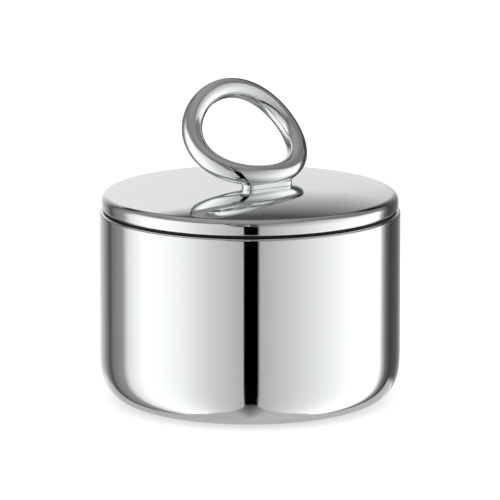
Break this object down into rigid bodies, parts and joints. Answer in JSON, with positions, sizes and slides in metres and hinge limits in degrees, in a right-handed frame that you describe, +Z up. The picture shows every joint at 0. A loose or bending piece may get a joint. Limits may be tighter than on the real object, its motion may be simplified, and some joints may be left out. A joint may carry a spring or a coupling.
{
  "type": "sugar bowl",
  "caption": "Straight-sided round metal bowl with a rounded bottom edge and a shallow domed lift-off lid, lifted by one heavy leaning ring on a low oval neck.",
  "frame": {"origin": "centre of the flat base, on the surface that the bowl stands on", "axes": "+Z up through the centre of the bowl, and the way the lid lifts; +X to the right and +Y to the back as the bowl is seen from the front, where the ring leans towards the back"},
  "size_m": [0.09, 0.09, 0.096],
  "materials": {
    "silver_plate": "mirror-polished silver plate on brass",
    "silver_inside": "satin silver plate on brass",
    "steel_fixing": "machined stainless steel",
    "brass_pin": "drawn brass"
  },
  "bodies": {
    "bowl": {"bowl_shell": "silver_plate", "mouth_wire": "silver_inside"},
    "lid": {"lid_shell": "silver_plate", "lid_collar": "silver_inside", "ring_knob": "silver_plate", "knob_neck": "silver_plate", "knob_washer": "steel_fixing", "knob_nut": "steel_fixing", "locating_pin": "brass_pin"}
  },
  "joints": [
    {"name": "lid_lift", "type": "slide", "parent": "bowl", "child": "lid", "axis": [0, 0, 1], "range_m": [0, 0.08]}
  ]
}
